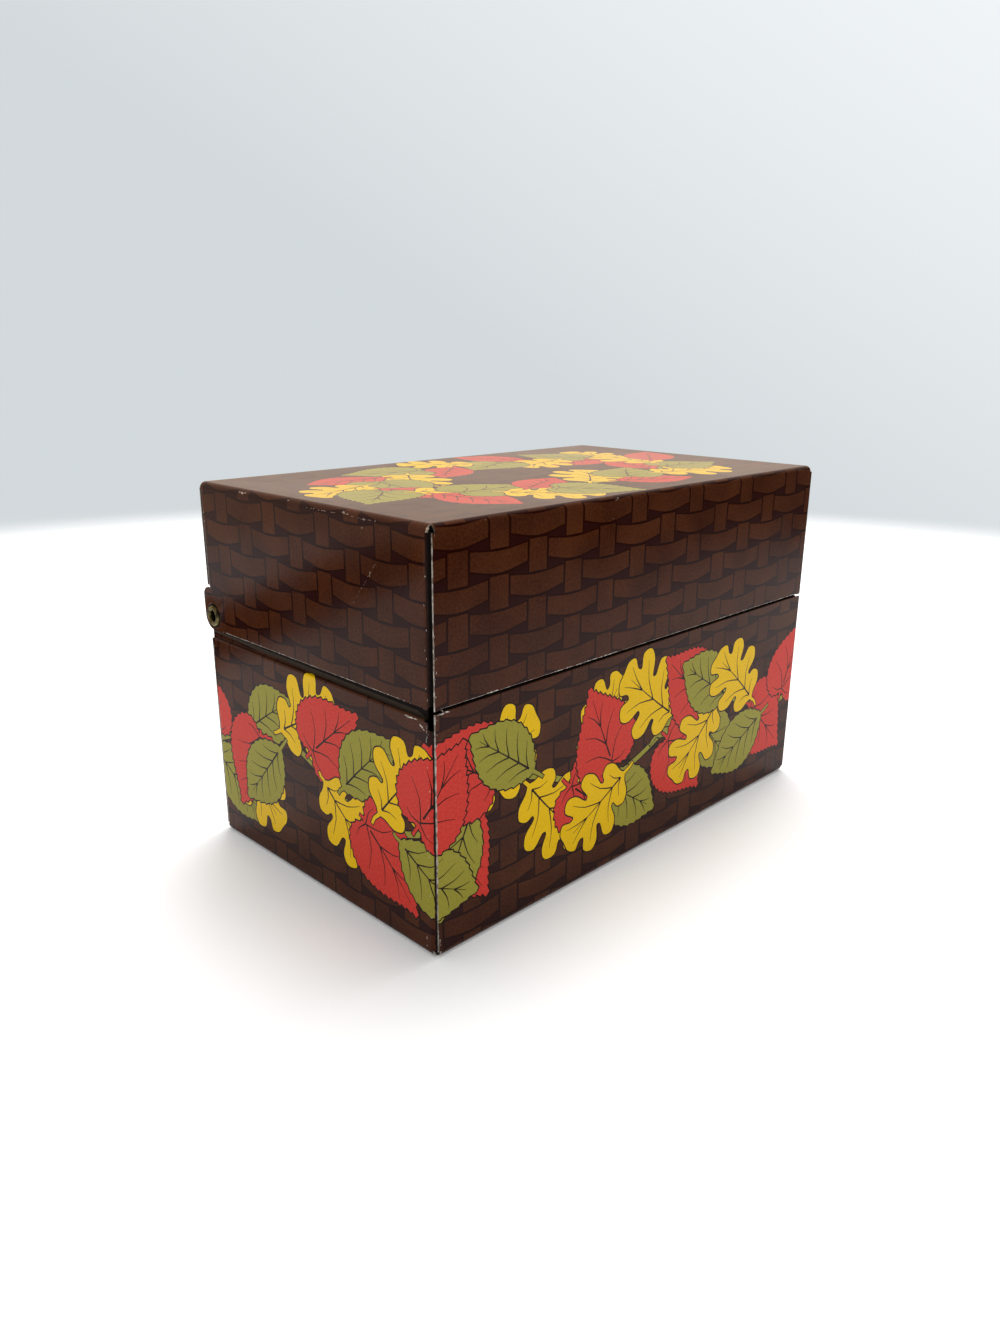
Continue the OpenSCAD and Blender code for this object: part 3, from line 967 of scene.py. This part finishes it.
# Single marks of use: (panel, start, end, number of chips, size, spread)
lidMarks = [
    ("left", (23.4, 86.3), (19.0, 86.4), 9, 0.7, 0.15),
    ("left", (4.0, 86.6), (3.7, 86.6), 1, 0.45, 0.0),
    ("left", (-3.0, 85.9), (-13.5, 85.9), 16, 0.3, 0.08),
    ("left", (-14.6, 86.3), (-16.4, 86.2), 8, 0.45, 0.2),
    ("left", (-17.0, 85.8), (-25.5, 85.8), 16, 0.32, 0.12),
    ("left", (-20.8, 84.1), (-20.5, 84.0), 1, 0.3, 0.0),
    ("left", (-24.4, 77.8), (-17.1, 69.0), 22, 0.17, 0.1),
    ("left", (-22.6, 76.2), (-22.2, 75.0), 4, 0.4, 0.3),
    ("plate", (-65.6, -25.3), (-65.3, -26.4), 3, 0.5, 0.1),
    ("plate", (-55.2, -36.6), (-54.2, -36.8), 5, 0.45, 0.15),
    ("front", (-53.4, 86.4), (-53.1, 86.4), 1, 0.5, 0.0),
    ("front", (-15.6, 86.2), (-14.6, 86.6), 4, 0.7, 0.12),
    ("front", (-16.6, 82.4), (-16.4, 82.4), 1, 0.3, 0.0),
    ("front", (-53.4, 52.85), (-50.2, 52.85), 16, 0.6, 0.1),
    ("front", (-34.0, 52.8), (-14.0, 52.75), 46, 0.5, 0.08),
    ("front", (20.0, 52.8), (33.0, 52.75), 16, 0.4, 0.06),
    ("left", (36.0, 52.75), (-36.0, 52.75), 30, 0.35, 0.08),
]
baseMarks = [
    ("front", (-66.0, 51.7), (-63.2, 51.8), 16, 0.6, 0.12),
    ("left", (-32.2, 49.9), (-35.2, 49.9), 12, 0.6, 0.15),
    ("left", (-36.2, 49.4), (-37.4, 48.4), 9, 0.5, 0.2),
    ("left", (-38.2, 49.4), (-38.0, 46.2), 14, 0.28, 0.05),
    ("left", (-37.1, 4.2), (-37.1, 1.8), 5, 0.4, 0.06),
    ("front", (-66.6, 6.5), (-66.3, 2.2), 10, 0.45, 0.15),
    ("front", (-65.8, 5.0), (-66.4, 1.6), 6, 0.4, 0.06),
    ("left", (-38.3, 44.0), (-38.3, 12.0), 10, 0.28, 0.12),
]


def paintMarks(blank, marks, seed):
    for k, (panel, start, end, count, size, spread) in enumerate(marks):
        chips(blank, panel, start, end, count, size, spread, seed + k)


# An sRGB colour as written in hex, turned to the linear values that the nodes take
def linearColour(hexColour):
    parts = [int(hexColour[k:k + 2], 16) / 255 for k in (1, 3, 5)]
    return [c / 12.92 if c <= 0.04045 else ((c + 0.055) / 1.055) ** 2.4 for c in parts] + [1.0]


# Adds a node with its settings. Each input is a plain value, a colour in hex, a node or one of a
# node's outputs. A Map Range gets its value, what it maps from and what it maps to.
def addNode(tree, kind, inputs=(), **settings):
    node = tree.nodes.new("ShaderNode" + kind)
    for key, value in settings.items():
        setattr(node, key, value)
    for key, value in inputs.items() if isinstance(inputs, dict) else enumerate(inputs):
        source = value.outputs[0] if isinstance(value, bpy.types.Node) else value
        if isinstance(source, bpy.types.NodeSocket):
            tree.links.new(source, node.inputs[key])
        else:
            node.inputs[key].default_value = linearColour(source) if isinstance(source, str) else source
    return node


# A material, its nodes and the spot that they are worked out for, in the object's own metres
def newMaterial(name):
    material = bpy.data.materials.new(name)
    material.use_nodes = True
    tree = material.node_tree
    tree.nodes.clear()
    return material, tree, addNode(tree, "TexCoord").outputs["Object"]


# Litho inks on tinplate under a stoved clear varnish: flat colour with a fine printed grain, a smooth
# gloss that takes the room as a soft haze, and duller patches where hands have been. The grain of
# the halftone is about 0.2 mm and is drawn coarser so that it shows. Sizes are in millimetres.
varnish = {
    "ior": 1.5,
    "level": 0.1,
    "gloss": 0.1,
    "dull": 0.2,
    "smudge": 26.0,
    "peel": 1.6,
    "peelDepth": 0.05,
    "peelBump": 0.12,
    "grain": 0.55,
}


def addVarnish(tree, local, colour):
    smudge = addNode(tree, "TexNoise",
                     {"Vector": local, "Scale": 1 / (varnish["smudge"] * mm), "Detail": 5.0})
    gloss = addNode(tree, "MapRange", [smudge, 0.35, 0.7, varnish["gloss"], varnish["dull"]])
    peel = addNode(tree, "TexNoise",
                   {"Vector": local, "Scale": 1 / (varnish["peel"] * mm), "Detail": 2.0})
    bump = addNode(tree, "Bump", {"Height": peel, "Strength": varnish["peelBump"],
                                  "Distance": varnish["peelDepth"] * mm})
    skin = addNode(tree, "BsdfPrincipled", {"Base Color": colour, "Roughness": gloss, "Normal": bump,
                                            "IOR": varnish["ior"],
                                            "Specular IOR Level": varnish["level"]})
    addNode(tree, "OutputMaterial", {"Surface": skin})


# A solid litho ink: even colour that the halftone breaks up into two close tones
def makeInk(name, dark, light):
    material, tree, local = newMaterial(name)
    spot = addNode(tree, "UVMap", uv_map="printMm")
    grain = addNode(tree, "TexNoise", {"Vector": spot, "Scale": 1 / varnish["grain"], "Detail": 3.0})
    spread = addNode(tree, "MapRange", [grain, 0.3, 0.7])
    colour = addNode(tree, "Mix", {0: spread, 6: dark, 7: light}, data_type="RGBA")
    addVarnish(tree, local, colour.outputs[2])
    return material


# The basket weave in litho ink: brown strands and stakes with darker lines over a dark ground
def makeWeavePrint():
    material, tree, local = newMaterial("lithoBasketWeave")
    spot = addNode(tree, "UVMap", uv_map="printMm")
    axes = addNode(tree, "SeparateXYZ", [spot])
    made = {"along": axes.outputs["X"], "up": axes.outputs["Y"]}
    pitch, row = weave["stakePitch"], weave["rowPitch"]
    # Two sets of strands and stakes, half a pitch and one row apart. A step is its name, what it does
    # and its inputs. The last one of a set is how deep a spot lies inside a strand or a stake.
    for k in (0, 1):
        steps = [
            ("u", "ADD", "along", pitch / 2 * k),
            ("v", "ADD", "up", row * k),
            ("u", "WRAP", "u", pitch / 2, -pitch / 2),
            ("x", "ABSOLUTE", "u"),
            ("wave", "MULTIPLY", "x", 2 * math.pi / pitch),
            ("wave", "COSINE", "wave"),
            ("wave", "MULTIPLY_ADD", "wave", 0.5, 0.5),
            ("sag", "MULTIPLY", "wave", weave["sag"]),
            ("half", "MULTIPLY_ADD", "wave", -weave["taper"] / 2, weave["strandW"] / 2),
            ("fromStrand", "SUBTRACT", "v", "sag"),
            ("fromStrand", "WRAP", "fromStrand", row, -row),
            ("fromStrand", "ABSOLUTE", "fromStrand"),
            ("inStrand", "SUBTRACT", "half", "fromStrand"),
            ("pastStake", "SUBTRACT", "x", weave["stakeW"] / 2),
            ("strand", "MINIMUM", "inStrand", "pastStake"),
            ("fromStake", "WRAP", "v", row, -row),
            ("fromStake", "ABSOLUTE", "fromStake"),
            ("inStake", "SUBTRACT", row - weave["strandW"] / 2, "fromStake"),
            ("besideStake", "SUBTRACT", weave["stakeW"] / 2, "x"),
            ("stake", "MINIMUM", "inStake", "besideStake"),
            ("deep%d" % k, "MAXIMUM", "strand", "stake"),
        ]
        for name, operation, *values in steps:
            inputs = [made.get(value, value) for value in values]
            made[name] = addNode(tree, "Math", inputs, operation=operation)
    deep = addNode(tree, "Math", [made["deep0"], made["deep1"]], operation="MAXIMUM")
    edge = weave["outline"]
    inCane = addNode(tree, "MapRange", [deep, edge - weave["blur"], edge + weave["blur"]])
    inGap = addNode(tree, "MapRange", [deep, 0.02, -0.1])
    # The cane's tone: broad cloudy changes and the grain of the halftone
    cloud = addNode(tree, "TexNoise", {"Vector": spot, "Scale": 1 / weave["cloud"], "Detail": 3.0})
    grain = addNode(tree, "TexNoise", {"Vector": spot, "Scale": 1 / varnish["grain"], "Detail": 3.0})
    tone = addNode(tree, "Math", [cloud, grain], operation="ADD")
    tone = addNode(tree, "MapRange", [tone, 0.72, 1.28])
    cane, ground = weave["cane"], weave["ground"]
    cane = addNode(tree, "Mix", {0: tone, 6: cane[0], 7: cane[1]}, data_type="RGBA")
    ground = addNode(tree, "Mix", {0: inGap, 6: ground[0], 7: ground[1]}, data_type="RGBA")
    colour = addNode(tree, "Mix", {0: inCane, 6: ground.outputs[2], 7: cane.outputs[2]}, data_type="RGBA")
    addVarnish(tree, local, colour.outputs[2])
    return material


# Steel sheet with a bright tin skin: silver-grey metal with faint rolling lines, about 25 mm long and
# 0.7 mm apart, and dull clouds of about 22 mm
def makeTinplate():
    material, tree, local = newMaterial("rolledTinplate")
    lines = addNode(tree, "Mapping", {"Vector": local, "Scale": (0.04 / mm, 1.5 / mm, 1.5 / mm)})
    rolled = addNode(tree, "TexNoise", {"Vector": lines, "Scale": 1.0, "Detail": 3.0})
    cloud = addNode(tree, "TexNoise", {"Vector": local, "Scale": 0.045 / mm, "Detail": 5.0})
    tone = addNode(tree, "Mix", {0: cloud, 6: "#a9a79f", 7: "#cfcdc6"}, data_type="RGBA")
    gloss = addNode(tree, "MapRange", [cloud, 0.3, 0.7, 0.26, 0.42])
    bump = addNode(tree, "Bump", {"Height": rolled, "Strength": 0.15, "Distance": 0.02 * mm})
    skin = addNode(tree, "BsdfPrincipled", {"Base Color": tone.outputs[2], "Metallic": 1.0,
                                            "Roughness": gloss, "Normal": bump})
    addNode(tree, "OutputMaterial", {"Surface": skin})
    return material


# Bare steel, sheared at the cut edges or rubbed through the print: bright grey with darker spots of
# about 1.1 mm
def makeSteel(name, bright, spotted, roughness):
    material, tree, local = newMaterial(name)
    spots = addNode(tree, "TexNoise", {"Vector": local, "Scale": 0.9 / mm, "Detail": 4.0})
    spread = addNode(tree, "MapRange", [spots, 0.42, 0.6])
    tone = addNode(tree, "Mix", {0: spread, 6: spotted, 7: bright}, data_type="RGBA")
    bump = addNode(tree, "Bump", {"Height": spots, "Strength": 0.3, "Distance": 0.03 * mm})
    skin = addNode(tree, "BsdfPrincipled", {"Base Color": tone.outputs[2], "Metallic": 1.0,
                                            "Roughness": roughness, "Normal": bump})
    addNode(tree, "OutputMaterial", {"Surface": skin})
    return material


# Dull and crumbly, with crumbs of about 0.8 mm: grey-brown dust on the ledge, and nearly black painted
# shade in the seams, under the lid's edge and round the eyelets
def makeDustAndShade(name, dark, light):
    material, tree, local = newMaterial(name)
    crumbs = addNode(tree, "TexNoise", {"Vector": local, "Scale": 1.2 / mm, "Detail": 4.0})
    tone = addNode(tree, "Mix", {0: crumbs, 6: dark, 7: light}, data_type="RGBA")
    bump = addNode(tree, "Bump", {"Height": crumbs, "Strength": 0.5, "Distance": 0.08 * mm})
    skin = addNode(tree, "BsdfPrincipled", {"Base Color": tone.outputs[2], "Roughness": 0.75,
                                            "Normal": bump, "Specular IOR Level": 0.12})
    addNode(tree, "OutputMaterial", {"Surface": skin})
    return material


# Drawn brass that has darkened: dull gold where it is touched, with brown-green tarnish in patches of
# about 1.7 mm
def makeBrass():
    material, tree, local = newMaterial("tarnishedDrawnBrass")
    tarnish = addNode(tree, "TexNoise", {"Vector": local, "Scale": 0.6 / mm, "Detail": 5.0})
    spread = addNode(tree, "MapRange", [tarnish, 0.38, 0.62])
    tone = addNode(tree, "Mix", {0: spread, 6: "#3d3827", 7: "#7b7048"}, data_type="RGBA")
    gloss = addNode(tree, "MapRange", [tarnish, 0.3, 0.7, 0.5, 0.32])
    bump = addNode(tree, "Bump", {"Height": tarnish, "Strength": 0.25, "Distance": 0.03 * mm})
    skin = addNode(tree, "BsdfPrincipled", {"Base Color": tone.outputs[2], "Metallic": 1.0,
                                            "Roughness": gloss, "Normal": bump})
    addNode(tree, "OutputMaterial", {"Surface": skin})
    return material


materials = {
    "weave": makeWeavePrint(),
    "leafRed": makeInk("lithoRedInk", "#c43228", "#d43e34"),
    "leafYellow": makeInk("lithoYellowInk", "#e4b600", "#eec208"),
    "leafOlive": makeInk("lithoOliveInk", "#90892c", "#9c953a"),
    "line": makeInk("lithoDarkBrownInk", "#1a0a05", "#26100a"),
    "worn": makeSteel("rubbedBareSteel", "#cfcac2", "#8d857b", 0.5),
    "dust": makeDustAndShade("settledDust", "#2c241d", "#463b30"),
    # Near-black painted shade for the seams, under the lid's edge and round the eyelets
    "paintedShade": makeDustAndShade("paintedShadeBlack", "#050302", "#120a06"),
    "bare": makeTinplate(),
    "cut": makeSteel("shearedSteel", "#b3ada5", "#6e645a", 0.42),
}
print("materials ready")

seeds = wear["seeds"]
baseBlank = makeBaseBlank()
paintSeams(baseBlank, (tin["bendR"], tin["bendR"]), base["frontH"], box["halfD"] - base["cornerIn"],
           wear["baseSeamShade"], wear["baseRubbed"], seeds["baseSeams"])
paintLedge(baseBlank, seeds["ledge"])
paintMarks(baseBlank, baseMarks, seeds["baseMarks"])
lidBlank = makeLidBlank()
paintSeams(lidBlank, (box["lidZ"], lid["backEdgeZ"] + wear["backSeamUp"]), box["height"] - tin["bendR"],
           box["halfD"] - lid["cornerIn"], wear["lidSeamShade"], wear["lidRubbed"], seeds["lidSeams"])
paintHem(lidBlank, seeds["hem"])
paintMarks(lidBlank, lidMarks, seeds["lidMarks"])
for blank, node, body in ((baseBlank, "base_shell", "base"), (lidBlank, "lid_shell", "lid")):
    sheet = foldSheet(body + "Sheet", blank, materials)
    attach(sheet, body)
    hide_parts(node)

brass = makeBrass()
for end in ("left", "right"):
    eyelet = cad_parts["hinge_eyelet_" + end]
    eyelet.data.materials.clear()
    eyelet.data.materials.append(brass)
print("eyelets finished")

# The table: a white sheet that fades out into the white of the backdrop behind it. In the gloss of the
# print it darkens towards its front edge, between two places in y, and a soft dark band crosses it
# behind the box, bandAt from the middle, with the half widths of its core and of its soft rim.
table = {
    "radius": 600.0,
    "sides": 96,
    "below": 0.02,
    "fade": (400.0, 560.0),
    "colour": "#f3f3f3",
    "seenColour": "#ffffff",
    "lift": 0.12,
    "mirrored": "#14100e",
    "frontDark": (-310.0, -150.0),
    "bandAlong": (0.38, 0.925, 0.0),
    "bandAt": 130.0,
    "bandHalf": (18.0, 46.0),
}


def makeWhiteCard():
    material, tree, local = newMaterial("whiteCard")
    away = addNode(tree, "VectorMath", [local], operation="LENGTH").outputs["Value"]
    start, end = (radius * mm for radius in table["fade"])
    shown = addNode(tree, "MapRange", [away, start, end, 1.0, 0.0], interpolation_type="SMOOTHSTEP")
    clear = addNode(tree, "BsdfTransparent")
    front = addNode(tree, "SeparateXYZ", [local]).outputs["Y"]
    start, end = (y * mm for y in table["frontDark"])
    front = addNode(tree, "MapRange", [front, start, end], interpolation_type="SMOOTHSTEP")
    band = addNode(tree, "VectorMath", [local, table["bandAlong"]], operation="DOT_PRODUCT")
    band = addNode(tree, "Math", [band.outputs["Value"], table["bandAt"] * mm], operation="SUBTRACT")
    band = addNode(tree, "Math", [band], operation="ABSOLUTE")
    core, rim = (half * mm for half in table["bandHalf"])
    band = addNode(tree, "MapRange", [band, core, rim], interpolation_type="SMOOTHSTEP")
    bright = addNode(tree, "Math", [front, band], operation="MULTIPLY")
    path = addNode(tree, "LightPath")
    dark = addNode(tree, "Math", [1.0, bright], operation="SUBTRACT")
    dark = addNode(tree, "Math", [dark, path.outputs["Is Glossy Ray"]], operation="MULTIPLY")
    thrown = addNode(tree, "Mix", {0: dark, 6: table["colour"], 7: table["mirrored"]}, data_type="RGBA")
    card = addNode(tree, "BsdfDiffuse", {"Color": thrown.outputs[2]})
    # The eye gets it a little whiter than the light that it throws back
    seenCard = addNode(tree, "BsdfDiffuse", {"Color": table["seenColour"]})
    glow = addNode(tree, "Emission", {"Color": (1, 1, 1, 1), "Strength": table["lift"]})
    seenCard = addNode(tree, "AddShader", [seenCard, glow])
    card = addNode(tree, "MixShader", [path.outputs["Is Camera Ray"], card, seenCard])
    mixed = addNode(tree, "MixShader", [shown, clear, card])
    addNode(tree, "OutputMaterial", {"Surface": mixed})
    return material


mesh = bpy.data.meshes.new("tableTop")
sides = table["sides"]
ring = arc(0, 0, table["radius"], 0, 360 - 360 / sides, sides - 1)
mesh.from_pydata([(x * mm, y * mm, -table["below"] * mm) for x, y in ring], [], [list(range(sides))])
mesh.materials.append(makeWhiteCard())
floor = bpy.data.objects.new("tableTop", mesh)
bpy.context.scene.collection.objects.link(floor)

# The studio: even white light for the object, and for the eye a white ground that turns to pale grey
# at the height of the horizon and is a little brighter on one side. Heights are the sine of the angle
# above it. In the gloss of the print the room behind the box is warm and pale, and the room before it
# is dark.
studio = {
    "light": 0.62,
    "ground": "#ffffff",
    "wall": "#d3d9dc",
    "wallTop": "#f4f8fb",
    "bright": (0.71, -0.71, 0.0),
    "brightShare": 0.6,
    "brightTo": 0.55,
    "horizon": (-0.182, -0.145),
    "paleRoom": "#e4d0c1",
    "darkRoom": "#54463e",
    "roomTurns": (-0.45, 0.15),
    "lampPower": 8.0,
    "lampPlace": (260.0, 180.0, 900.0),
    "lampSize": 600.0,
}


def makeRoom():
    room = bpy.data.worlds.new("studio")
    room.use_nodes = True
    tree = room.node_tree
    tree.nodes.clear()
    way = addNode(tree, "TexCoord").outputs["Generated"]
    height = addNode(tree, "SeparateXYZ", [way]).outputs["Z"]
    rise = addNode(tree, "MapRange", [height, *studio["horizon"]], interpolation_type="SMOOTHSTEP")
    aside = addNode(tree, "VectorMath", [way, studio["bright"]], operation="DOT_PRODUCT")
    lift = addNode(tree, "Math", [aside.outputs["Value"], studio["brightShare"], height],
                   operation="MULTIPLY_ADD")
    lift = addNode(tree, "MapRange", [lift, 0.0, studio["brightTo"]])
    wall = addNode(tree, "Mix", {0: lift, 6: studio["wall"], 7: studio["wallTop"]}, data_type="RGBA")
    backdrop = addNode(tree, "Mix", {0: rise, 6: studio["ground"], 7: wall.outputs[2]}, data_type="RGBA")
    depth = addNode(tree, "SeparateXYZ", [way]).outputs["Y"]
    depth = addNode(tree, "MapRange", [depth, *studio["roomTurns"]])
    glossy = addNode(tree, "Mix", {0: depth, 6: studio["darkRoom"], 7: studio["paleRoom"]},
                     data_type="RGBA")
    path = addNode(tree, "LightPath")
    seen = addNode(tree, "Mix", {0: path.outputs["Is Camera Ray"], 6: glossy.outputs[2],
                                 7: backdrop.outputs[2]}, data_type="RGBA")
    seen = addNode(tree, "Background", {"Color": seen.outputs[2], "Strength": 1.0})
    light = addNode(tree, "Background", {"Color": (1, 1, 1, 1), "Strength": studio["light"]})
    direct = addNode(tree, "Math", [path.outputs["Is Camera Ray"], path.outputs["Is Glossy Ray"]],
                     operation="MAXIMUM")
    direct = addNode(tree, "Math", [direct, path.outputs["Is Transmission Ray"]], operation="MAXIMUM")
    both = addNode(tree, "MixShader", [direct, light, seen])
    addNode(tree, "OutputWorld", {"Surface": both})
    return room


bpy.context.scene.world = makeRoom()

lamp = bpy.data.lights.new("softLamp", "AREA")
lamp.energy = studio["lampPower"]
lamp.size = studio["lampSize"] * mm
lampObject = bpy.data.objects.new("softLamp", lamp)
lampObject.location = Vector(studio["lampPlace"]) * mm
lampObject.rotation_euler = (-Vector(studio["lampPlace"])).to_track_quat("-Z", "Y").to_euler()
lampObject.visible_glossy = False  # the bare steel inside mirrors the room only and stays below white
bpy.context.scene.collection.objects.link(lampObject)
print("studio ready")

# The camera stands where the photograph was taken, above the lid and off its near corner
view = {
    "place": (-178.35, -168.09, 116.14),
    "yaw": 45.134,
    "pitch": -17.886,
    "roll": 0.332,
    "focalPixels": 988.0,
    "framePixels": 1333.0,
    "sensor": 36.0,
    "nearest": 10.0,
}
yaw, pitch, roll = (math.radians(view[key]) for key in ("yaw", "pitch", "roll"))
gaze = Vector((math.sin(yaw) * math.cos(pitch), math.cos(yaw) * math.cos(pitch), math.sin(pitch)))
level = Vector((math.cos(yaw), -math.sin(yaw), 0))
upright = level.cross(gaze)
right = math.cos(roll) * level + math.sin(roll) * upright
up = math.cos(roll) * upright - math.sin(roll) * level
lens = bpy.data.cameras.new("camera")
lens.sensor_fit = "VERTICAL"
lens.sensor_height = view["sensor"]
lens.lens = view["focalPixels"] / view["framePixels"] * view["sensor"]
lens.clip_start = view["nearest"] * mm
camera = bpy.data.objects.new("camera", lens)
bpy.context.scene.collection.objects.link(camera)
turned = Matrix((right, up, -gaze)).transposed().to_4x4()
camera.matrix_world = Matrix.Translation(Vector(view["place"]) * mm) @ turned
bpy.context.scene.camera = camera
bpy.context.scene.view_settings.view_transform = "Standard"
